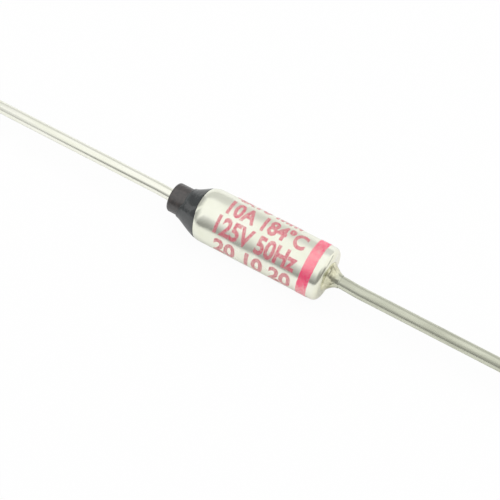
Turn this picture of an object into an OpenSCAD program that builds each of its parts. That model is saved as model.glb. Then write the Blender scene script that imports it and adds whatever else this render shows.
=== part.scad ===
// Axial thermal fuse of the pellet kind: a metal case with a wire lead at each end.
// The axis lies along X, the case lead points to +X and the isolated lead to -X.
// The origin is on the axis, halfway along the case.

/* [Metal case] */
// Outside diameter of the case
case_d = 4; // [3.7:0.1:5]
// Length of the case from its closed end to its rolled lip
case_l = 10.3; // [9.4:0.1:13]
// Wall thickness of the drawn case
case_wall = 0.3; // [0.2:0.02:0.38]
// Thickness of the closed end
end_wall = 0.5; // [0.4:0.05:0.8]
// Outside corner radius of the closed end
end_corner_r = 0.45; // [0.2:0.05:0.6]
// Inside corner radius of the closed end
end_fillet_r = 0.15; // [0.05:0.05:0.3]
// Length over which the mouth is rolled in
roll_l = 1; // [0.7:0.05:1.4]
// Depth by which the mouth is rolled in, on the radius
roll_h = 0.5; // [0.42:0.02:0.6]

/* [Ink band] */
// Width of the printed ring
band_w = 0.74; // [0.4:0.02:1.2]
// Distance from the closed end to the printed ring
band_offset = 0.76; // [0.7:0.02:2]
// Thickness of the dried ink
ink_t = 0.02; // [0.01:0.005:0.04]

/* [Leads] */
// Diameter of both lead wires
lead_d = 0.9; // [0.7:0.05:1.1]
// Length of the isolated lead beyond the insulating tube
isolated_lead_l = 20; // [10:1:40]
// Length of the case lead beyond the closed end
case_lead_l = 20; // [10:1:40]
// Chamfer on the cut ends of the wires
lead_chamfer = 0.08; // [0.02:0.02:0.2]
// Growth of a wire's diameter where heading or staking has upset it
lead_upset = 0.04; // [0.02:0.01:0.08]
// Diameter of the contact head on the isolated lead
contact_head_d = 1.5; // [1.2:0.05:1.8]
// Height of the contact head up to its dome
contact_head_t = 0.35; // [0.2:0.05:0.5]
// Height of the dome on the contact head
contact_dome_h = 0.15; // [0.05:0.05:0.3]
// Diameter of the staked head of the case lead
stake_d = 1.5; // [1.2:0.05:2]
// Depth of the countersink that holds the staked head
stake_t = 0.3; // [0.15:0.05:0.35]

/* [Solder fillet] */
// Diameter of the fillet on the closed end
fillet_d = 2.3; // [1.6:0.02:2.7]
// Length of the fillet along the case lead
fillet_l = 0.9; // [0.5:0.02:1.4]
// Thickness at which the fillet feathers out on the wire
fillet_tip_t = 0.03; // [0.02:0.01:0.08]
// Rounding at the toe of the fillet
fillet_toe_h = 0.08; // [0.04:0.01:0.2]

/* [Seal] */
// Outside diameter of the insulating tube
tube_d = 2.22; // [1.8:0.01:2.6]
// Length of the tube that the resin leaves bare
tube_bare_l = 0.98; // [0.5:0.02:2]
// Rounding of the tube's free rim
tube_rim_r = 0.18; // [0.05:0.01:0.25]
// Length of the resin cone beyond the rolled lip
resin_l = 1.3; // [0.8:0.05:2]
// Depth of the lip that the resin laps over, on the radius
resin_lap = 0.28; // [0.1:0.02:0.36]

/* [Ceramic bushing] */
// Length of the body that fits the case
bushing_l = 1.6; // [1.2:0.05:2]
// Diameter of the nose that carries the contact head
nose_d = 1.6; // [1.4:0.05:1.9]
// Length of the nose
nose_l = 0.9; // [0.6:0.05:1.2]
// Chamfer between the body and its shoulder
shoulder_chamfer = 0.12; // [0.05:0.01:0.25]

/* [Trip mechanism] */
// Length of the pellet
pellet_l = 3.5; // [2.6:0.1:4]
// Bevel round both ends of the pellet
pellet_bevel = 0.22; // [0.1:0.02:0.4]
// Thickness of the disc on the pellet
pellet_disc_t = 0.2; // [0.1:0.05:0.3]
// Thickness of the disc in the star contact
spring_disc_t = 0.2; // [0.1:0.05:0.3]
// Sheet thickness of the star contact
star_t = 0.12; // [0.08:0.01:0.16]
// Number of sprung fingers on the star contact
star_fingers = 10; // [6:1:14]
// Width of the slots between the fingers
star_slot_w = 0.26; // [0.15:0.01:0.4]
// Reach of the fingers along the case
star_reach = 0.75; // [0.5:0.05:1]
// Wire diameter of the main spring
main_wire_d = 0.36; // [0.25:0.01:0.45]
// Pitch of the open coils of the main spring
main_pitch = 0.52; // [0.5:0.02:0.8]
// Wire diameter of the trip spring
trip_wire_d = 0.18; // [0.12:0.01:0.24]
// Pitch of the open coils of the trip spring
trip_pitch = 0.3; // [0.28:0.02:0.5]

/* [Fits] */
// Clearance on the radius between a piece and the bore or shaft it fits
fit = 0.02; // [0.01:0.005:0.04]
// Room on the radius between the trip spring and the nose it surrounds
trip_room = 0.12; // [0.06:0.02:0.2]
// Flat rim that the star contact leaves round the trip spring
star_rim = 0.08; // [0.04:0.02:0.16]

/* [Hidden] */

// Fineness of turned faces and of the arcs in their profiles
turn_fn = 96;
arc_steps = 14;
// Sides of a spring's wire and rings in each of its turns
wire_sides = 8;
turn_rings = 24;
// Share of a wire's diameter by which a closed end coil clears the next coil
closed_coil = 1.08;

// Radii of the case
case_r = case_d / 2;
bore_r = case_r - case_wall;
mouth_r = case_r - roll_h;

// Stations along the axis, from the rolled lip to the closed end
lip_x = -case_l / 2;
end_x = case_l / 2;
floor_x = end_x - end_wall;
bushing_x = lip_x + case_wall + fit;
shoulder_x = bushing_x + bushing_l;
nose_x = shoulder_x + nose_l;
star_x = nose_x + contact_head_t + contact_dome_h;
spring_disc_x = star_x + star_t;
main_spring_x = spring_disc_x + spring_disc_t;
pellet_x = floor_x - pellet_l;
pellet_disc_x = pellet_x - pellet_disc_t;

// Stations of the seal, outside the lip
resin_x = lip_x - resin_l;
tube_x = resin_x - tube_bare_l;
isolated_tip_x = tube_x - isolated_lead_l;
case_tip_x = end_x + case_lead_l;

// Radii of the wires and of the holes they pass through
lead_r = lead_d / 2;
upset_r = lead_r + lead_upset / 2;
lead_hole_r = upset_r + fit;

// Radii of the trip mechanism, from the nose outwards
trip_inner_r = max(nose_d, contact_head_d) / 2 + trip_room;
trip_mean_r = trip_inner_r + trip_wire_d / 2;
plate_r = trip_inner_r + trip_wire_d + star_rim;
spring_disc_r = plate_r - fit;
main_mean_r = spring_disc_r - main_wire_d / 2;
finger_r = bore_r - fit;

// Handles of the curve that shapes the resin, as shares of its height and length
neck_handle = [0.2, 0.25];
toe_handle = [0.58, 0.6];

// Handles of the curve that shapes the solder, as shares of its height and length
collar_toe_handle = [0.7, 0.8];
collar_tip_handle = [0, 0.3];
// Angle at which the rounded toe of the solder runs into its hollow
fillet_toe_angle = 50;

// Points of an elliptical arc: centre and radii are [radius, x]
function arc(centre, radii, from, to) = [
    for (i = [0 : arc_steps])
        let (a = from + (to - from) * i / arc_steps)
        [centre[0] + radii[0] * cos(a), centre[1] + radii[1] * sin(a)]
];

// Points of a cubic curve from p to s with the handles q and r
function cubic(p, q, r, s) = [
    for (i = [0 : arc_steps])
        let (t = i / arc_steps, k = 1 - t)
        k * k * k * p + 3 * k * k * t * q + 3 * k * t * t * r + t * t * t * s
];

// Solid of revolution about X from a profile of [radius, x] points
module turned(profile) {
    rotate([0, 90, 0])
        rotate_extrude($fn = turn_fn)
            polygon(profile);
}

// Height of a coil's centre line after u turns: closed end coils, open coils between
function coil_z(u, turns, height, wire_d) =
    let (closed = wire_d * closed_coil, open = height - wire_d - 2 * closed)
    u < 1 ? wire_d / 2 + closed * u
        : u > turns - 1 ? height - wire_d / 2 - closed * (turns - u)
        : wire_d / 2 + closed + open * (u - 1) / (turns - 2);

// Compression spring that stands from x to x + height, with closed ends
module coil_spring(x, height, mean_r, wire_d, pitch) {
    turns = 2 + (height - wire_d * (1 + 2 * closed_coil)) / pitch;
    rings = ceil(turns * turn_rings);
    points = [
        for (i = [0 : rings], k = [0 : wire_sides - 1])
            let (
                u = turns * i / rings,
                a = 360 * u,
                b = 360 * k / wire_sides,
                r = mean_r + wire_d / 2 * cos(b)
            )
            [r * cos(a), r * sin(a), coil_z(u, turns, height, wire_d) + wire_d / 2 * sin(b)]
    ];
    walls = [
        for (i = [0 : rings - 1], k = [0 : wire_sides - 1])
            let (
                low = i * wire_sides,
                high = low + wire_sides,
                next = (k + 1) % wire_sides
            )
            [low + k, high + k, high + next, low + next]
    ];
    start_cap = [for (k = [0 : wire_sides - 1]) k];
    end_cap = [for (k = [wire_sides - 1 : -1 : 0]) rings * wire_sides + k];
    translate([x, 0, 0])
        rotate([0, 90, 0])
            polyhedron(points, concat(walls, [start_cap, end_cap]), convexity = 10);
}

// Drawn can: closed end with a countersunk hole, barrel, mouth rolled in over the bushing
module metal_case() {
    roll_centre = [mouth_r, lip_x + roll_l];
    color("gainsboro")
        turned(concat(
            [[lead_hole_r, end_x]],
            arc([case_r - end_corner_r, end_x - end_corner_r], [end_corner_r, end_corner_r], 90, 0),
            arc(roll_centre, [roll_h, roll_l], 0, -90),
            arc(roll_centre, [roll_h - case_wall, roll_l - case_wall], -90, 0),
            arc([bore_r - end_fillet_r, floor_x - end_fillet_r], [end_fillet_r, end_fillet_r], 0, 90),
            [[stake_d / 2 + fit, floor_x], [lead_hole_r, floor_x + stake_t]]
        ));
}

// Wire with a countersunk head staked flush with the floor of the case
module case_lead() {
    color("darkgray")
        turned([
            [0, floor_x],
            [stake_d / 2, floor_x],
            [upset_r, floor_x + stake_t],
            [upset_r, end_x],
            [lead_r, end_x + fillet_l],
            [lead_r, case_tip_x - lead_chamfer],
            [lead_r - lead_chamfer, case_tip_x],
            [0, case_tip_x]
        ]);
}

// Concave collar of solder that wets the closed end and runs out along the wire
module solder_fillet() {
    toe_centre = [fillet_d / 2 - fillet_toe_h, end_x];
    toe = arc(toe_centre, [fillet_toe_h, fillet_toe_h], 0, fillet_toe_angle);
    tip = [lead_r + fit + fillet_tip_t, end_x + fillet_l];
    size = toe[arc_steps] - tip;
    color("silver")
        turned(concat(
            [[upset_r + fit, end_x]],
            toe,
            cubic(
                toe[arc_steps],
                tip + [size[0] * collar_toe_handle[0], size[1] * collar_toe_handle[1]],
                tip + [size[0] * collar_tip_handle[0], size[1] * collar_tip_handle[1]],
                tip
            ),
            [[lead_r + fit, end_x + fillet_l]]
        ));
}

// Wire with a domed contact head that seats on the nose of the bushing
module isolated_lead() {
    head_r = contact_head_d / 2;
    color("whitesmoke")
        turned(concat(
            [[0, isolated_tip_x], [lead_r - lead_chamfer, isolated_tip_x]],
            [[lead_r, isolated_tip_x + lead_chamfer], [lead_r, tube_x], [upset_r, nose_x]],
            [[head_r, nose_x]],
            arc([0, nose_x + contact_head_t], [head_r, contact_dome_h], 0, 90)
        ));
}

// Stepped insulator: body in the case, cone under the rolled lip, nose for the contact head
module ceramic_bushing() {
    body_r = bore_r - fit;
    color("ivory")
        turned([
            [lead_hole_r, bushing_x],
            [mouth_r, bushing_x],
            [body_r, lip_x + roll_l],
            [body_r, shoulder_x - shoulder_chamfer],
            [body_r - shoulder_chamfer, shoulder_x],
            [nose_d / 2, shoulder_x],
            [nose_d / 2, nose_x],
            [lead_hole_r, nose_x]
        ]);
}

// Sleeve on the isolated lead, seated on the bushing, with a rounded free rim
module insulating_tube() {
    tube_r = tube_d / 2;
    color("dimgray")
        turned(concat(
            [[lead_hole_r, tube_x]],
            arc([tube_r - tube_rim_r, tube_x + tube_rim_r], [tube_rim_r, tube_rim_r], -90, 0),
            [[tube_r, bushing_x], [lead_hole_r, bushing_x]]
        ));
}

// Resin poured round the tube: fills the mouth, laps over the lip and draws up to a neck
module resin_seal() {
    neck_r = tube_d / 2 + fit;
    lap_angle = acos(resin_lap / (roll_h + fit));
    on_lip = arc([mouth_r, lip_x + roll_l], [roll_h + fit, roll_l + fit], -90, -lap_angle);
    toe = on_lip[arc_steps];
    neck = [neck_r, resin_x];
    size = toe - neck;
    color("darkslategray")
        turned(concat(
            [[neck_r, bushing_x], [mouth_r - fit, bushing_x], [mouth_r - fit, lip_x - fit]],
            on_lip,
            cubic(
                toe,
                neck + [size[0] * toe_handle[0], size[1] * toe_handle[1]],
                neck + [size[0] * neck_handle[0], size[1] * neck_handle[1]],
                neck
            )
        ));
}

// Pressed tablet with bevelled ends that fills the closed end
module thermal_pellet() {
    pellet_r = bore_r - fit;
    color("palegoldenrod")
        turned([
            [0, pellet_x],
            [pellet_r - pellet_bevel, pellet_x],
            [pellet_r, pellet_x + pellet_bevel],
            [pellet_r, floor_x - pellet_bevel],
            [pellet_r - pellet_bevel, floor_x],
            [0, floor_x]
        ]);
}

// Flat disc that spreads the spring's load over a seat
module disc(x, thickness, radius) {
    turned([[0, x], [radius, x], [radius, x + thickness], [0, x + thickness]]);
}

// Disc on the end of the pellet
module pellet_disc() {
    color("goldenrod")
        disc(pellet_disc_x, pellet_disc_t, bore_r - fit);
}

// Disc that lies in the cup of the star contact
module spring_disc() {
    color("goldenrod")
        disc(spring_disc_x, spring_disc_t, spring_disc_r);
}

// Spring that holds the contact closed while the pellet is solid
module main_spring() {
    color("slategray")
        coil_spring(
            main_spring_x, pellet_disc_x - main_spring_x, main_mean_r, main_wire_d, main_pitch
        );
}

// Weaker spring round the nose that opens the contact once the pellet has melted
module trip_spring() {
    color("lightslategray")
        coil_spring(shoulder_x, star_x - shoulder_x, trip_mean_r, trip_wire_d, trip_pitch);
}

// Sheet cup: flat plate against the contact head, slotted into fingers that bear on the bore
module star_contact() {
    centre = [plate_r, star_x + star_reach];
    spread = finger_r - plate_r;
    color("white")
        difference() {
            turned(concat(
                [[0, star_x]],
                arc(centre, [spread, star_reach], -90, 0),
                arc(centre, [spread - star_t, star_reach - star_t], 0, -90),
                [[0, star_x + star_t]]
            ));
            for (i = [0 : star_fingers - 1])
                rotate([i * 360 / star_fingers, 0, 0])
                    translate([star_x - star_t, -star_slot_w / 2, plate_r])
                        cube([star_reach + 2 * star_t, star_slot_w, case_r]);
        }
}

// Ring of red ink printed round the barrel
module marking_band() {
    band_x = end_x - band_offset - band_w;
    color("lightcoral")
        turned([
            [case_r, band_x],
            [case_r + ink_t, band_x],
            [case_r + ink_t, band_x + band_w],
            [case_r, band_x + band_w]
        ]);
}

metal_case();
case_lead();
solder_fillet();
isolated_lead();
ceramic_bushing();
insulating_tube();
resin_seal();
thermal_pellet();
pellet_disc();
main_spring();
spring_disc();
star_contact();
trip_spring();
marking_band();
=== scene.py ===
import math

import bmesh
import bpy
from mathutils import Matrix, Vector, noise


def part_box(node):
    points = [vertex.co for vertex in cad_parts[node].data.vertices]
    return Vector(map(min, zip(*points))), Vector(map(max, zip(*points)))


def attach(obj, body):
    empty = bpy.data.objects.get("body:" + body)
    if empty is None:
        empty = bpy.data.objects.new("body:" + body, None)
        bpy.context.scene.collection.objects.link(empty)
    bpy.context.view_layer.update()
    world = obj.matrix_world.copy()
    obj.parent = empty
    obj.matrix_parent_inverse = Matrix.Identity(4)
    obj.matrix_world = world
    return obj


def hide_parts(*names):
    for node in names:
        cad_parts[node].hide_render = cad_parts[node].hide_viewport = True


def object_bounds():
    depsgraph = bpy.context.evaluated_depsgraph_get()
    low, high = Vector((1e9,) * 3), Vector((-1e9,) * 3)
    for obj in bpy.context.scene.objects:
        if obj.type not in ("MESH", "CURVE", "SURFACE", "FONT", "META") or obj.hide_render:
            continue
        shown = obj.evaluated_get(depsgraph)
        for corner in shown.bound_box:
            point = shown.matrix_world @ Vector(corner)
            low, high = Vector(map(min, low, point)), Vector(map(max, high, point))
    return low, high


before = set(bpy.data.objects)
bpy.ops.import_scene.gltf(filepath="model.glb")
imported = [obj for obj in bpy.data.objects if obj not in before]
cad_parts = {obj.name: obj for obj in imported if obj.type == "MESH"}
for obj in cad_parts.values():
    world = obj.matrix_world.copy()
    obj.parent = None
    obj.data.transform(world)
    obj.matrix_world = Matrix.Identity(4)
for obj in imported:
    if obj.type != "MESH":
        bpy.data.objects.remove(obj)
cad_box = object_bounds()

# Metal case
# A can deep-drawn from thin brass and plated bright, so it reads as warm silver. Its closed end takes the
# case lead, and its mouth is spun inwards over the bushing once the stack is inside.

MM = 0.001
TURN_STEPS = 160
ARC_STEPS = 16
WELD = 1e-8
ON_RIM = 1e-7

case_low, case_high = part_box("metal_case")
lip_x = case_low[0] / MM
end_x = case_high[0] / MM
case_r = case_high[1] / MM
case_wall = 0.3
end_wall = 0.5
end_corner_r = 0.45
end_corner_steps = 12
end_fillet_r = 0.15
end_fillet_steps = 6
roll_l = 1.0
roll_h = 0.5
fit = 0.02
lead_r = 0.45
upset_r = 0.47
stake_r = 0.75
stake_t = 0.3
lead_hole_r = upset_r + fit
bore_r = case_r - case_wall
mouth_r = case_r - roll_h
floor_x = end_x - end_wall
creamier_end_l = 0.4
creamier_end_share = 0.75
handled_half = 1.5
handled_end = 4.6
handled_dulling = 0.1


def linear(code):
    """A linear RGBA colour from an sRGB hex code."""
    channels = [int(code[i:i + 2], 16) / 255 for i in (1, 3, 5)]
    return [c / 12.92 if c <= 0.04045 else ((c + 0.055) / 1.055) ** 2.4 for c in channels] + [1]


def node(tree, kind, sockets, stops=(), **settings):
    """Adds a node with its settings, constants and links, and a ramp's stops of place and colour."""
    made = tree.nodes.new("ShaderNode" + kind)
    for key, value in settings.items():
        setattr(made, key, value)
    for key, value in sockets.items():
        if isinstance(value, bpy.types.Node):
            value = value.outputs[0]
        if isinstance(value, bpy.types.NodeSocket):
            tree.links.new(value, made.inputs[key])
        else:
            made.inputs[key].default_value = value
    for element, (position, colour) in zip(made.color_ramp.elements if stops else (), stops):
        element.position = position
        element.color = colour
    return made


def new_material(name):
    """A material with an empty tree, the tree, and the Object coordinates in it."""
    material = bpy.data.materials.new(name)
    material.use_nodes = True
    material.node_tree.nodes.clear()
    return material, material.node_tree, node(material.node_tree, "TexCoord", {}).outputs["Object"]


def arc(centre, radii, start, end):
    """Points (x, radius) of an elliptical arc. Angle 0 points away from the axis, 90 degrees along +X."""
    turns = [math.radians(start + (end - start) * step / ARC_STEPS) for step in range(ARC_STEPS + 1)]
    return [(centre[0] + radii[0] * math.sin(a), centre[1] + radii[1] * math.cos(a)) for a in turns]


def turned(profile, rounded=(), closed=True):
    """A bmesh spun about X from (x, radius) points in mm. Rounded rims are point, radius, segments."""
    bm = bmesh.new()
    points = [bm.verts.new((x * MM, 0, r * MM)) for x, r in profile]
    edges = [bm.edges.new(pair) for pair in zip(points, points[1:])]
    if closed:
        edges.append(bm.edges.new((points[-1], points[0])))
    bmesh.ops.spin(bm, geom=points + edges, cent=(0, 0, 0), axis=(1, 0, 0), angle=math.tau,
                   steps=TURN_STEPS, use_merge=True)
    bmesh.ops.remove_doubles(bm, verts=bm.verts, dist=WELD)
    bmesh.ops.recalc_face_normals(bm, faces=bm.faces)
    for (x, r), radius, segments in rounded:
        on_rim = {v for v in bm.verts if math.hypot(v.co.x - x * MM, v.co.yz.length - r * MM) < ON_RIM}
        rim = [e for e in bm.edges if set(e.verts) <= on_rim]
        bmesh.ops.bevel(bm, geom=rim, offset=radius * MM, segments=segments, profile=0.5,
                        affect="EDGES", material=-1)
    return bm


def finished(name, bm, material, sharp_deg=35):
    """A piece at the origin with its finish, smooth but for edges sharper than the given angle."""
    bmesh.ops.recalc_face_normals(bm, faces=bm.faces)
    mesh = bpy.data.meshes.new(name)
    bm.to_mesh(mesh)
    bm.free()
    mesh.shade_smooth()
    mesh.set_sharp_from_angle(angle=math.radians(sharp_deg))
    mesh.materials.append(material)
    piece = bpy.data.objects.new(name, mesh)
    bpy.context.collection.objects.link(piece)
    return piece


# Bright plating on drawn brass: warm silver with soft reflections that swim a little along the can, a
# faint bloom in patches, a duller middle where it was handled, and a creamier tint towards the closed end.
case_plating, tree, place = new_material("plated_brass_drawn")
bloom = node(tree, "TexNoise", {"Vector": place, "Scale": 1 / (1.4 * MM), "Detail": 4})
clean = node(tree, "ValToRGB", {"Fac": bloom}, stops=[(0.3, linear("#F3F5E3")), (0.7, linear("#FBFCEF"))])
along = node(tree, "SeparateXYZ", {"Vector": place})
# The plating turns creamier over the last stretch towards the closed end.
creamier_end = node(tree, "MapRange", {
    "Value": along, "From Min": (end_x - creamier_end_l) * MM, "From Max": end_x * MM, "To Max": creamier_end_share,
})
tint = node(tree, "Mix", {0: creamier_end, 6: clean, 7: linear("#EFEDD6")}, data_type="RGBA")
polish = node(tree, "MapRange", {
    "Value": bloom, "From Min": 0.3, "From Max": 0.7, "To Min": 0.22, "To Max": 0.14,
})
from_middle = node(tree, "Math", {0: along}, operation="ABSOLUTE")
handled = node(tree, "MapRange", {
    "Value": from_middle, "From Min": handled_half * MM, "From Max": handled_end * MM,
    "To Min": handled_dulling, "To Max": 0,
})
dulled = node(tree, "Math", {0: polish, 1: handled}, operation="ADD")
hand_marks = node(tree, "TexNoise", {"Vector": place, "Scale": 1 / (2.4 * MM), "Detail": 1})
waves = node(tree, "Bump", {"Height": hand_marks, "Distance": 0.14 * MM})
drawn_out = node(tree, "Mapping", {"Vector": place, "Scale": (1 / 16, 1, 1)})
draw_lines = node(tree, "TexNoise", {"Vector": drawn_out, "Scale": 1 / (0.09 * MM), "Detail": 2})
relief = node(tree, "Bump", {"Height": draw_lines, "Distance": 0.0015 * MM, "Normal": waves})
metal = node(tree, "BsdfPrincipled", {
    "Base Color": tint.outputs[2], "Metallic": 1, "Roughness": dulled, "Normal": relief,
})
node(tree, "OutputMaterial", {"Surface": metal})

roll_centre = (lip_x + roll_l, mouth_r)
metal_case = finished("drawn_metal_case", turned(
    [(end_x, lead_hole_r), (end_x, case_r)]
    + arc(roll_centre, (roll_l, roll_h), 0, -90)
    + arc(roll_centre, (roll_l - case_wall, roll_h - case_wall), -90, 0)
    + [(floor_x, bore_r), (floor_x, stake_r + fit), (floor_x + stake_t, lead_hole_r)],
    rounded=[
        ((end_x, case_r), end_corner_r, end_corner_steps),
        ((floor_x, bore_r), end_fillet_r, end_fillet_steps),
    ],
), case_plating)
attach(metal_case, "root")
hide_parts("metal_case")

# Tinned lead
# A length of tinned copper wire, fixed in the can. Its end inside is staked into a countersink, which swells
# the shank in the hole. Its free end is sheared off, and handling has set it very slightly off the axis.

case_tip_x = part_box("case_lead")[1][0] / MM
fillet_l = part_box("solder_fillet")[1][0] / MM - end_x
shear_chamfer = 0.08
shear_steps = 2
set_l = 1.6
case_set = 0.06
case_set_deg = 115

# Tinned copper wire: grey with an olive cast, dulled in streaks that run along the wire.
tinned_wire, tree, place = new_material("tinned_copper_drawn")
drawn_out = node(tree, "Mapping", {"Vector": place, "Scale": (1 / 7, 1, 1)})
streaks = node(tree, "TexNoise", {"Vector": drawn_out, "Scale": 1 / (0.35 * MM), "Detail": 4})
tint = node(tree, "ValToRGB", {"Fac": streaks}, stops=[(0.3, linear("#C6C8B6")), (0.7, linear("#DADCCA"))])
polish = node(tree, "MapRange", {
    "Value": streaks, "From Min": 0.3, "From Max": 0.7, "To Min": 0.36, "To Max": 0.24,
})
die_lines = node(tree, "Mapping", {"Vector": place, "Scale": (1 / 40, 1, 1)})
scores = node(tree, "TexNoise", {"Vector": die_lines, "Scale": 1 / (0.05 * MM), "Detail": 2})
relief = node(tree, "Bump", {"Height": scores, "Distance": 0.002 * MM})
metal = node(tree, "BsdfPrincipled", {
    "Base Color": tint, "Metallic": 1, "Roughness": polish, "Normal": relief,
})
node(tree, "OutputMaterial", {"Surface": metal})


def wire_between(start, end):
    """Points (x, radius) along a wire, close enough to bend it between two places."""
    return [(start + (end - start) * step / ARC_STEPS, lead_r) for step in range(ARC_STEPS + 1)]


def set_aside(bm, start, end, shift, angle_deg):
    """Bends a wire aside between two places, by a shift at an angle from +Z towards -Y."""
    aside = Vector((0, -math.sin(math.radians(angle_deg)), math.cos(math.radians(angle_deg))))
    for vert in bm.verts:
        t = min(1, max(0, (vert.co.x / MM - start) / (end - start)))
        vert.co += aside * shift * t * t * (3 - 2 * t) * MM


bend = (end_x + fillet_l, end_x + fillet_l + set_l)
bm = turned(
    [(floor_x, 0), (floor_x, stake_r), (floor_x + stake_t, upset_r), (end_x, upset_r)]
    + wire_between(*bend) + [(case_tip_x, lead_r), (case_tip_x, 0)],
    rounded=[((case_tip_x, lead_r), shear_chamfer, shear_steps)], closed=False,
)
set_aside(bm, *bend, case_set, case_set_deg)
case_lead = finished("staked_case_lead", bm, tinned_wire)
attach(case_lead, "root")
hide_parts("case_lead")

# Solder fillet
# Solder that was flowed round the root of the case lead. It wets the closed end, draws up along the wire
# in a hollow curve and sets a little uneven, with a film of flux that yellows it.

fillet_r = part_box("solder_fillet")[1][1] / MM
fillet_toe = 0.03
toe_deg = 50
toe_handle = (0.8, 0.7)
fillet_tip_t = 0.03
tip_handle = 0.3
thin_from = 0.4
lump = 0.1
lump_mean = 0.5
lump_size = 0.6
lump_seed = (14.6, 6.2, 3.4)
lump_full_t = 0.25
smooth_bore_t = 0.01


def cubic(p, q, r, s):
    """Points of a cubic curve from p to s with the handles q and r."""
    points = []
    for step in range(ARC_STEPS + 1):
        t = step / ARC_STEPS
        weights = ((1 - t) ** 3, 3 * (1 - t) ** 2 * t, 3 * (1 - t) * t * t, t ** 3)
        points.append(tuple(sum(w * c[i] for w, c in zip(weights, (p, q, r, s))) for i in (0, 1)))
    return points


# Flowed solder under flux: a glossy skin, yellowed where the flux lies, greyer where it is bare, and thin
# enough at its tip to take the grey of the wire.
solder, tree, place = new_material("solder_flowed")
flux = node(tree, "TexNoise", {"Vector": place, "Scale": 1 / (0.5 * MM), "Detail": 3})
skin = node(tree, "ValToRGB", {"Fac": flux}, stops=[(0.35, linear("#B0AE93")), (0.65, linear("#F1EFD2"))])
along = node(tree, "SeparateXYZ", {"Vector": place})
thinned = node(tree, "MapRange", {
    "Value": along,
    "From Min": (end_x + thin_from * fillet_l) * MM, "From Max": (end_x + fillet_l) * MM,
})
tint = node(tree, "Mix", {0: thinned, 6: skin, 7: linear("#D0D2C0")}, data_type="RGBA")
ripples = node(tree, "TexNoise", {"Vector": place, "Scale": 1 / (0.25 * MM), "Detail": 2})
relief = node(tree, "Bump", {"Height": ripples, "Distance": 0.025 * MM})
metal = node(tree, "BsdfPrincipled", {
    "Base Color": tint.outputs[2], "Metallic": 1, "Roughness": 0.18, "Normal": relief,
})
node(tree, "OutputMaterial", {"Surface": metal})

toe = arc((end_x, fillet_r - fillet_toe), (fillet_toe, fillet_toe), 0, toe_deg)
tip = (end_x + fillet_l, lead_r + fit + fillet_tip_t)
rise_x = toe[-1][0] - tip[0]
rise_r = toe[-1][1] - tip[1]
hollow = cubic(
    toe[-1],
    (tip[0] + toe_handle[0] * rise_x, tip[1] + toe_handle[1] * rise_r),
    (tip[0] + tip_handle * rise_x, tip[1]),
    tip,
)
bm = turned([(end_x, lead_hole_r)] + toe + hollow[1:] + [(tip[0], lead_r + fit)])
for vert in bm.verts:
    across = Vector((0, vert.co.y, vert.co.z))
    thickness = across.length / MM - lead_hole_r
    if thickness > smooth_bore_t:
        wobble = max(0, lump_mean + noise.noise(vert.co / (lump_size * MM) + Vector(lump_seed)))
        vert.co -= across.normalized() * lump * min(1, thickness / lump_full_t) * wobble * MM
solder_fillet = finished("flowed_solder_fillet", bm, solder)
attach(solder_fillet, "root")
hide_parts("solder_fillet")

# Trip mechanism
# The stack that fills the can from its floor to the bushing: a pressed tablet, a disc, a strong spring, a
# second disc, the star-shaped sliding contact and the weak spring that throws it open.

# Pressed organic powder: pale yellow and waxy, with the fine speckle of its grains.
pellet_powder, tree, place = new_material("organic_powder_pressed")
grains = node(tree, "TexNoise", {"Vector": place, "Scale": 1 / (0.12 * MM), "Detail": 4})
tint = node(tree, "ValToRGB", {"Fac": grains}, stops=[(0.35, linear("#DCCB93")), (0.65, linear("#EFE3B8"))])
relief = node(tree, "Bump", {"Height": grains, "Distance": 0.01 * MM})
powder = node(tree, "BsdfPrincipled", {"Base Color": tint, "Roughness": 0.6, "Normal": relief})
node(tree, "OutputMaterial", {"Surface": powder})
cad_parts["thermal_pellet"].material_slots[0].material = pellet_powder

# Stamped brass strip: yellow metal with the fine parallel scratches of rolling.
strip_brass, tree, place = new_material("brass_strip_stamped")
drawn_out = node(tree, "Mapping", {"Vector": place, "Scale": (1, 1 / 20, 1)})
scratches = node(tree, "TexNoise", {"Vector": drawn_out, "Scale": 1 / (0.06 * MM), "Detail": 3})
tint = node(tree, "ValToRGB", {"Fac": scratches}, stops=[(0.3, linear("#C39A4E")), (0.7, linear("#DDBB74"))])
relief = node(tree, "Bump", {"Height": scratches, "Distance": 0.003 * MM})
metal = node(tree, "BsdfPrincipled", {
    "Base Color": tint, "Metallic": 1, "Roughness": 0.32, "Normal": relief,
})
node(tree, "OutputMaterial", {"Surface": metal})
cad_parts["pellet_disc"].material_slots[0].material = strip_brass
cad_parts["spring_disc"].material_slots[0].material = strip_brass

# Drawn spring wire: dark bright steel, a little bluer in patches from stress relief.
spring_wire, tree, place = new_material("spring_steel_drawn")
temper = node(tree, "TexNoise", {"Vector": place, "Scale": 1 / (0.6 * MM), "Detail": 2})
tint = node(tree, "ValToRGB", {"Fac": temper}, stops=[(0.3, linear("#8A8D92")), (0.7, linear("#B0AFA9"))])
metal = node(tree, "BsdfPrincipled", {"Base Color": tint, "Metallic": 1, "Roughness": 0.28})
node(tree, "OutputMaterial", {"Surface": metal})
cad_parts["main_spring"].material_slots[0].material = spring_wire
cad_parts["trip_spring"].material_slots[0].material = spring_wire

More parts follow.
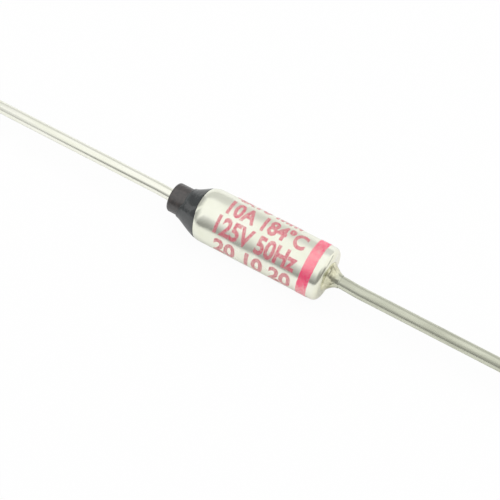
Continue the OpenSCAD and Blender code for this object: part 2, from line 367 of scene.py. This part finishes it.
# Stamped silver-faced sheet: white metal, burnished in streaks where the fingers rub on the can.
contact_silver, tree, place = new_material("silver_faced_sheet_stamped")
drawn_out = node(tree, "Mapping", {"Vector": place, "Scale": (1 / 4, 1, 1)})
rubbed = node(tree, "TexNoise", {"Vector": drawn_out, "Scale": 1 / (0.3 * MM), "Detail": 3})
tint = node(tree, "ValToRGB", {"Fac": rubbed}, stops=[(0.3, linear("#E4E2DA")), (0.7, linear("#F7F6F1"))])
polish = node(tree, "MapRange", {
    "Value": rubbed, "From Min": 0.3, "From Max": 0.7, "To Min": 0.3, "To Max": 0.16,
})
metal = node(tree, "BsdfPrincipled", {"Base Color": tint, "Metallic": 1, "Roughness": polish})
node(tree, "OutputMaterial", {"Surface": metal})
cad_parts["star_contact"].material_slots[0].material = contact_silver

# Ceramic bushing
# A stepped alumina insulator, pressed and fired, with a hole for the isolated lead. The rolled mouth of
# the can holds it in place.

# Fired alumina: ivory white and matt, with a fine sandy surface.
alumina, tree, place = new_material("alumina_fired")
sand = node(tree, "TexNoise", {"Vector": place, "Scale": 1 / (0.08 * MM), "Detail": 4})
tint = node(tree, "ValToRGB", {"Fac": sand}, stops=[(0.35, linear("#E4DFD2")), (0.65, linear("#F1EDE3"))])
relief = node(tree, "Bump", {"Height": sand, "Distance": 0.006 * MM})
ceramic = node(tree, "BsdfPrincipled", {"Base Color": tint, "Roughness": 0.55, "Normal": relief})
node(tree, "OutputMaterial", {"Surface": ceramic})
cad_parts["ceramic_bushing"].material_slots[0].material = alumina

# Isolated lead
# Silver-plated copper wire with a domed contact head, cold-headed before plating. It passes through the
# bushing and the tube, and the star contact presses on its dome. It too is set a little off the axis.

isolated_tip_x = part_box("isolated_lead")[0][0] / MM
dome_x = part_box("isolated_lead")[1][0] / MM
tube_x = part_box("insulating_tube")[0][0] / MM
nose_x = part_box("ceramic_bushing")[1][0] / MM
head_r = 0.75
dome_h = 0.15
isolated_set = 0.03
isolated_set_deg = -65

# Silver-plated copper wire: near white and bright, with faint drawing lines along it.
silvered_wire, tree, place = new_material("silver_plated_copper_drawn")
drawn_out = node(tree, "Mapping", {"Vector": place, "Scale": (1 / 8, 1, 1)})
sheen = node(tree, "TexNoise", {"Vector": drawn_out, "Scale": 1 / (0.5 * MM), "Detail": 3})
tint = node(tree, "ValToRGB", {"Fac": sheen}, stops=[(0.3, linear("#F7F8E8")), (0.7, linear("#FEFEF3"))])
polish = node(tree, "MapRange", {
    "Value": sheen, "From Min": 0.3, "From Max": 0.7, "To Min": 0.24, "To Max": 0.16,
})
die_lines = node(tree, "Mapping", {"Vector": place, "Scale": (1 / 40, 1, 1)})
scores = node(tree, "TexNoise", {"Vector": die_lines, "Scale": 1 / (0.05 * MM), "Detail": 2})
relief = node(tree, "Bump", {"Height": scores, "Distance": 0.0012 * MM})
metal = node(tree, "BsdfPrincipled", {
    "Base Color": tint, "Metallic": 1, "Roughness": polish, "Normal": relief,
})
node(tree, "OutputMaterial", {"Surface": metal})

bend = (tube_x, tube_x - set_l)
bm = turned(
    [(isolated_tip_x, 0), (isolated_tip_x, lead_r)] + wire_between(*bend)[::-1]
    + [(nose_x, upset_r), (nose_x, head_r)] + arc((dome_x - dome_h, 0), (dome_h, head_r), 0, 90),
    rounded=[((isolated_tip_x, lead_r), shear_chamfer, shear_steps)], closed=False,
)
set_aside(bm, *bend, isolated_set, isolated_set_deg)
isolated_lead = finished("headed_isolated_lead", bm, silvered_wire)
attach(isolated_lead, "root")
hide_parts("isolated_lead")

# Insulating tube
# A short moulded sleeve that slides over the isolated lead and stands on the bushing. It keeps the wire
# apart from the can and gives the resin something to hold.

bushing_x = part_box("insulating_tube")[1][0] / MM
tube_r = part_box("insulating_tube")[1][1] / MM
tube_rim_r = 0.18
tube_rim_steps = 8

# Moulded phenolic: brown-black and satin, with a slightly pebbled skin.
black_sleeve, tree, place = new_material("phenolic_moulded")
pebbles = node(tree, "TexNoise", {"Vector": place, "Scale": 1 / (0.26 * MM), "Detail": 3})
tint = node(tree, "ValToRGB", {"Fac": pebbles}, stops=[(0.35, linear("#181310")), (0.65, linear("#302723"))])
relief = node(tree, "Bump", {"Height": pebbles, "Distance": 0.028 * MM})
plastic = node(tree, "BsdfPrincipled", {
    "Base Color": tint, "Roughness": 0.28, "IOR": 1.65, "Specular IOR Level": 0.8, "Normal": relief,
})
node(tree, "OutputMaterial", {"Surface": plastic})

insulating_tube = finished("moulded_insulating_tube", turned(
    [(tube_x, lead_hole_r), (tube_x, tube_r), (bushing_x, tube_r), (bushing_x, lead_hole_r)],
    rounded=[((tube_x, tube_r), tube_rim_r, tube_rim_steps)],
), black_sleeve)
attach(insulating_tube, "root")
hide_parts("insulating_tube")

# Resin seal
# Black epoxy dripped into the rolled mouth. It fills the mouth, laps over the lip and climbs the tube to a
# beaded neck. It sagged as it cured, so it reaches further both ways on the side that lay low.

neck_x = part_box("resin_seal")[0][0] / MM
neck_r = tube_r + fit
resin_lap = 0.28
resin_rise = 0.58
sagged_lap = 0.44
sagged_rise = 0.75
sag_deg = 95
sag_spread_deg = 75
lap_handle = 0.6
neck_handle = (0.25, 0.2)
neck_bead = 0.09
neck_short = 0.26
neck_climb = 0.41
climb_deg = 110
climb_spread_deg = 80

# Cast epoxy: blue-black with a soft gloss and slow dimples from curing.
black_resin, tree, place = new_material("epoxy_cast")
dimples = node(tree, "TexNoise", {"Vector": place, "Scale": 1 / (0.6 * MM), "Detail": 2})
tint = node(tree, "ValToRGB", {"Fac": dimples}, stops=[(0.3, linear("#0A1314")), (0.7, linear("#131E1F"))])
relief = node(tree, "Bump", {"Height": dimples, "Distance": 0.04 * MM})
plastic = node(tree, "BsdfPrincipled", {
    "Base Color": tint, "Roughness": 0.2, "IOR": 1.6, "Specular IOR Level": 0.9, "Normal": relief,
})
node(tree, "OutputMaterial", {"Surface": plastic})


def resin_profile(lap, rise):
    """Points (x, radius) of the resin, which laps over the lip by a depth and swells beside it."""
    lap_angle = math.degrees(math.acos(lap / (roll_h + fit)))
    on_lip = arc(roll_centre, (roll_l + fit, roll_h + fit), -90, -lap_angle)
    reach_x = on_lip[-1][0] - neck_x
    reach_r = on_lip[-1][1] - neck_r
    bead = arc((neck_x + neck_bead, neck_r), (neck_bead, neck_bead), 0, -90)
    return [(bushing_x, neck_r), (bushing_x, mouth_r - fit), (lip_x - fit, mouth_r - fit)] + on_lip + cubic(
        on_lip[-1],
        (neck_x + lap_handle * reach_x, neck_r + rise * reach_r),
        (neck_x + neck_handle[0] * reach_x, neck_r + neck_handle[1] * reach_r),
        bead[0],
    )[1:] + bead[1:]


def low_share(point, middle_deg, spread_deg):
    """How far a point counts to the side that lay low, from 1 in its middle to 0 where it ends."""
    off_middle = math.degrees(math.atan2(-point.y, point.z)) - middle_deg
    return math.cos(math.radians(min(90, abs(off_middle) * 90 / spread_deg)))


even = resin_profile(resin_lap, resin_rise)
sagged = resin_profile(sagged_lap, sagged_rise)
bm = turned(even)
for vert in bm.verts:
    share = low_share(vert.co, sag_deg, sag_spread_deg)
    shift = neck_short - neck_climb * low_share(vert.co, climb_deg, climb_spread_deg)
    shift *= min(1, max(0, (lip_x - vert.co.x / MM) / (lip_x - neck_x)))
    nearest = min(range(len(even)), key=lambda i: math.hypot(
        vert.co.x / MM - even[i][0], vert.co.yz.length / MM - even[i][1]))
    outward = vert.co.yz.normalized()
    grown = outward * (sagged[nearest][1] - even[nearest][1]) * share * MM
    moved = ((sagged[nearest][0] - even[nearest][0]) * share + shift) * MM
    vert.co += Vector((moved, grown[0], grown[1]))
resin_seal = finished("cast_resin_seal", bm, black_resin)
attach(resin_seal, "root")
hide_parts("resin_seal")

# Ink band
# A ring of red ink rolled on near the closed end. The film is thin enough for the metal to shine through,
# and its edges wander a little where the roller spread it.

band_x0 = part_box("marking_band")[0][0] / MM
band_x1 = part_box("marking_band")[1][0] / MM
ink_t = 0.016
ink_spread = 0.05
edge_wander = 0.015
wander_size = 0.4
pinhole_size = 0.03
painted_shade_z = 0.56 * case_r
painted_shade_half = 0.14 * case_r
painted_sheen_half = 0.44 * case_r


def pinholed_ink(tree, film, holes, colours, show_through, roughness):
    """Ends a tree with an ink that opens to bare metal, the second colour, between two levels of a film."""
    tint = node(tree, "ValToRGB", {"Fac": film}, stops=list(zip(holes, map(linear, colours))))
    bare = node(tree, "MapRange", {
        "Value": film, "From Min": holes[0], "From Max": holes[1], "To Min": show_through,
    })
    ink = node(tree, "BsdfPrincipled", {"Base Color": tint, "Metallic": bare, "Roughness": roughness})
    node(tree, "OutputMaterial", {"Surface": ink})


# Thin printing ink: a strong red, full of pinholes that let the bright metal glint through, so it reads as
# pink in the light and as red in the dark line.
# Painted shade and sheen: the ink is denser and a deeper red in a band round the upper half of the barrel,
# and opens to more bare bright metal below it and along the very top.
band_ink, tree, place = new_material("printing_ink_rolled")
pinholes = node(tree, "TexNoise", {"Vector": place, "Scale": 1 / (pinhole_size * MM), "Detail": 1})
height = node(tree, "SeparateXYZ", {"Vector": place}).outputs["Z"]
# Painted shade and sheen by height: denser, deeper red ink in a band round the upper half of the barrel, and
# more bare bright metal below it and along the very top.
off_painted_shade = node(tree, "Math", {0: height, 1: painted_shade_z * MM}, operation="SUBTRACT")
off_painted_shade = node(tree, "Math", {0: off_painted_shade}, operation="ABSOLUTE")
pressed = node(tree, "MapRange", {
    "Value": off_painted_shade, "From Min": painted_shade_half * MM, "From Max": painted_sheen_half * MM,
    "To Min": -0.04, "To Max": 0.025,
})
film = node(tree, "Math", {0: pinholes, 1: pressed}, operation="ADD")
pinholed_ink(
    tree, film, holes=(0.52, 0.6), colours=("#F51A6A", "#F7F8E9"), show_through=0.25, roughness=0.28,
)

bm = turned([
    (band_x0 - ink_spread, case_r), (band_x0 - ink_spread + ink_t, case_r + ink_t),
    (band_x1 - ink_t, case_r + ink_t), (band_x1, case_r),
])
for vert in bm.verts:
    vert.co.x += noise.noise(vert.co / (wander_size * MM)) * edge_wander * MM
ink_band = finished("printed_ink_band", bm, band_ink)
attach(ink_band, "root")
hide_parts("marking_band")

# Printed ratings
# Rows of plain figures and units, pad-printed along the barrel some 48 degrees apart. Each has its words,
# its angle from the side that faces the camera, its start along X and its length. The letters are a dried
# film of ink with a real thickness.

facing_deg = 25
letter_h = 1.4
film_t = 0.012
stroke_swell = 0.035
strip_deg = 4
speck = 0.002
rows = [
    ("4x10 mm", -88, -3.05, 5.2),
    ("10A 184°C", -37, -2.95, 6.05),
    ("125V 50Hz", 9.5, -3.2, 6.35),
    ("20 10 20", 57.5, -2.95, 6.1),
]

# Pad-printed ink: the red of the band in a darker, drier film, with the same pinholes.
letter_ink, tree, place = new_material("printing_ink_padded")
pinholes = node(tree, "TexNoise", {"Vector": place, "Scale": 1 / (pinhole_size * MM), "Detail": 1})
pinholed_ink(
    tree, pinholes, holes=(0.5, 0.58), colours=("#C91450", "#F4F2E4"), show_through=0, roughness=0.3,
)

for number, (words, row_deg, row_x, row_l) in enumerate(rows, 1):
    curve = bpy.data.curves.new("row", "FONT")
    curve.body = words
    curve.offset = stroke_swell
    flat = bpy.data.objects.new("row", curve)
    bpy.context.collection.objects.link(flat)
    bpy.context.view_layer.update()
    bm = bmesh.new()
    bm.from_mesh(flat.to_mesh())
    flat.to_mesh_clear()
    bpy.data.objects.remove(flat)
    bpy.data.curves.remove(curve)
    xs = [v.co.x for v in bm.verts]
    ys = [v.co.y for v in bm.verts]
    bmesh.ops.translate(bm, verts=bm.verts, vec=(-min(xs), -(min(ys) + max(ys)) / 2, 0))
    bmesh.ops.scale(bm, verts=bm.verts, vec=(
        row_l / (max(xs) - min(xs)), letter_h / (max(ys) - min(ys)), 1,
    ))
    strip = math.radians(strip_deg) * case_r
    for step in range(int(letter_h / strip) + 1):
        bmesh.ops.bisect_plane(
            bm, geom=bm.verts[:] + bm.edges[:] + bm.faces[:],
            plane_co=(0, -letter_h / 2 + strip * (step + 0.5), 0), plane_no=(0, 1, 0),
        )
    bmesh.ops.remove_doubles(bm, verts=bm.verts, dist=speck)
    bmesh.ops.recalc_face_normals(bm, faces=bm.faces)
    if bm.faces[:][0].normal.z < 0:
        bmesh.ops.reverse_faces(bm, faces=bm.faces)
    raised = bmesh.ops.extrude_face_region(bm, geom=bm.faces[:])["geom"]
    top = [part for part in raised if isinstance(part, bmesh.types.BMVert)]
    bmesh.ops.translate(bm, verts=top, vec=(0, 0, film_t))
    for vert in bm.verts:
        angle = math.radians(facing_deg + row_deg) - vert.co.y / case_r
        height = case_r + vert.co.z
        vert.co = Vector((row_x + vert.co.x, -height * math.sin(angle), height * math.cos(angle))) * MM
    row = finished(f"printed_row_{number}", bm, letter_ink)
    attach(row, "root")

# Floor
# A plain white sheet under the fuse, which lies on its barrel. It shows white and keeps a soft shadow. The
# metal mirrors it a little greyer than it looks from above.

floor_z = cad_box[0][2]
floor_half = 0.6
seen_glow = 0.95
mirrored_glow = 0.1

# Matt white paper: near white, with no gloss of its own.
white_sheet, tree, _ = new_material("paper_matt")
paper = node(tree, "BsdfPrincipled", {"Base Color": linear("#E3E3E3"), "Roughness": 0.9})
ray = node(tree, "LightPath", {})
seen = node(tree, "Math", {
    0: ray.outputs["Is Camera Ray"], 1: ray.outputs["Is Transmission Ray"],
}, operation="MAXIMUM")
seen_share = node(tree, "Math", {0: seen, 1: seen_glow}, operation="MULTIPLY")
share = node(tree, "Math", {
    0: ray.outputs["Is Glossy Ray"], 1: mirrored_glow, 2: seen_share,
}, operation="MULTIPLY_ADD")
glow = node(tree, "Emission", {"Color": (1, 1, 1, 1), "Strength": 1})
both = node(tree, "MixShader", {0: share, 1: paper, 2: glow})
node(tree, "OutputMaterial", {"Surface": both})

bm = bmesh.new()
bmesh.ops.create_grid(bm, x_segments=1, y_segments=1, size=floor_half)
bmesh.ops.translate(bm, verts=bm.verts, vec=(0, 0, floor_z))
floor = finished("floor", bm, white_sheet)

# Cards
# Cards hung round the fuse, out of the camera's sight, shaded from grey at the foot to white at the top.
# The near ones draw the dark line along the metal, the far one tones down its upper edge, those on the right
# shade the closed end, and light comes between the two on the left and glints on the resin.

card_distance = 0.4
card_clear = 0.012


def card(name, angle_deg, offset, width, foot_level, shade):
    """A card that only reflections see, at an angle round Z. Its shade runs between two heights."""
    finish, tree, place = new_material("card_" + name)
    height = node(tree, "SeparateXYZ", {"Vector": place}).outputs["Z"]
    level = node(tree, "MapRange", {
        "Value": height, "From Min": shade[0], "From Max": shade[1], "To Min": foot_level, "To Max": 1,
    })
    glow = node(tree, "Emission", {"Strength": level})
    node(tree, "OutputMaterial", {"Surface": glow})
    bm = bmesh.new()
    bmesh.ops.create_grid(bm, x_segments=1, y_segments=1, size=0.5)
    bmesh.ops.scale(bm, verts=bm.verts, vec=(shade[1] - card_clear, width, 1))
    upright = Matrix.Rotation(math.radians(90), 3, "Y")
    bmesh.ops.rotate(bm, verts=bm.verts, cent=(0, 0, 0), matrix=upright)
    bmesh.ops.translate(bm, verts=bm.verts, vec=(card_distance, offset, (shade[1] + card_clear) / 2))
    swung = Matrix.Rotation(math.radians(angle_deg), 3, "Z")
    bmesh.ops.rotate(bm, verts=bm.verts, cent=(0, 0, 0), matrix=swung)
    made = finished("card_" + name, bm, finish)
    made.visible_camera = False
    made.visible_diffuse = False
    made.visible_shadow = False


card("near", -90, 0.13, 0.82, 0.26, (0.08, 0.58))
card("near_left", -90, -0.59, 0.62, 0.5, (0.1, 0.4))
card("corner", -50, 0, 0.6, 0.3, (0.35, 1.0))
card("right", 0, -0.23, 0.54, 0.25, (0.15, 0.45))
card("horizon", 25, 0, 0.35, 0.2, (0.05, 0.09))
card("far", 90, 0.25, 0.9, 0.68, (0.3, 0.5))
card("left_near", 180, 0.22, 0.22, 0.42, (0.15, 0.45))
card("left_far", 180, -0.12, 0.3, 0.45, (0.15, 0.45))

# Light and world
# One broad soft box hangs over the fuse, a little to the far side, in a room that is white all round. It
# stays out of the reflections, where it would add to the white of the room.

soft_radiance = 1.05
soft_place = (0, 0.03, 0.15)
room_level = 0.75

soft_box = bpy.data.lights.new("soft_box", "AREA")
soft_box.shape = "RECTANGLE"
soft_box.size = 0.30
soft_box.size_y = 0.20
soft_box.energy = soft_radiance * math.pi * soft_box.size * soft_box.size_y
soft_lamp = bpy.data.objects.new("soft_box", soft_box)
soft_lamp.location = soft_place
soft_lamp.visible_glossy = False
bpy.context.collection.objects.link(soft_lamp)

world = bpy.data.worlds.new("white_room")
bpy.context.scene.world = world
world.use_nodes = True
tree = world.node_tree
tree.nodes.clear()
ray = node(tree, "LightPath", {})
seen = node(tree, "Math", {
    0: ray.outputs["Is Camera Ray"], 1: ray.outputs["Is Glossy Ray"],
}, operation="MAXIMUM")
seen = node(tree, "Math", {0: seen, 1: ray.outputs["Is Transmission Ray"]}, operation="MAXIMUM")
room = node(tree, "Background", {"Color": (1, 1, 1, 1), "Strength": room_level})
white = node(tree, "Background", {"Color": (1, 1, 1, 1), "Strength": 1})
mixed = node(tree, "MixShader", {0: seen, 1: room, 2: white})
node(tree, "OutputWorld", {"Surface": mixed})
bpy.context.scene.view_settings.view_transform = "Standard"

# Camera
# It looks down on the fuse from the front right, close by, as the photograph does. Both leads run out of the
# picture.

azimuth = math.radians(30.48)
elevation = math.radians(61.48)
distance = 78.5
field_deg = 25.02
aim_left = 0.981
aim_down = 0.510

back = Vector((
    math.sin(azimuth) * math.cos(elevation), -math.cos(azimuth) * math.cos(elevation), math.sin(elevation),
))
right = Vector((math.cos(azimuth), math.sin(azimuth), 0))
up = back.cross(right)
camera = bpy.data.cameras.new("camera")
camera.lens = camera.sensor_width / 2 / math.tan(math.radians(field_deg) / 2)
camera.clip_start = 0.001
viewer = bpy.data.objects.new("camera", camera)
eye = back * distance - right * aim_left - up * aim_down
viewer.matrix_world = Matrix.Translation(eye * MM) @ Matrix((right, up, back)).transposed().to_4x4()
bpy.context.collection.objects.link(viewer)
bpy.context.scene.camera = viewer
